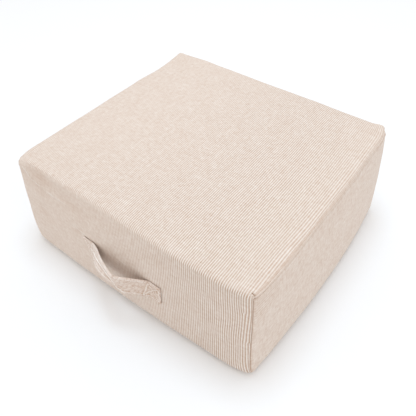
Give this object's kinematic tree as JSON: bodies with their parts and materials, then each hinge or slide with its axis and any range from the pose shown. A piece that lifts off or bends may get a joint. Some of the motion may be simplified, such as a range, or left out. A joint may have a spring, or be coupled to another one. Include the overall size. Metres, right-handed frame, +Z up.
{
  "type": "jumping cushion",
  "caption": "Square foam floor cushion in a fitted ribbed cotton cover with a sewn carrying strap on its front face.",
  "frame": {"origin": "middle of the flat base, level with the floor it lies on", "axes": "+Z up through the jumping face, -Y out of the front face with the carrying strap, +X to the right of someone who looks at that face"},
  "size_m": [0.6663, 0.6509, 0.281],
  "materials": {
    "cover_cotton": "matt ribbed cotton",
    "strap_cotton": "matt ribbed cotton"
  },
  "bodies": {
    "root": {"cushion": "cover_cotton", "handle": "strap_cotton"}
  },
  "joints": []
}
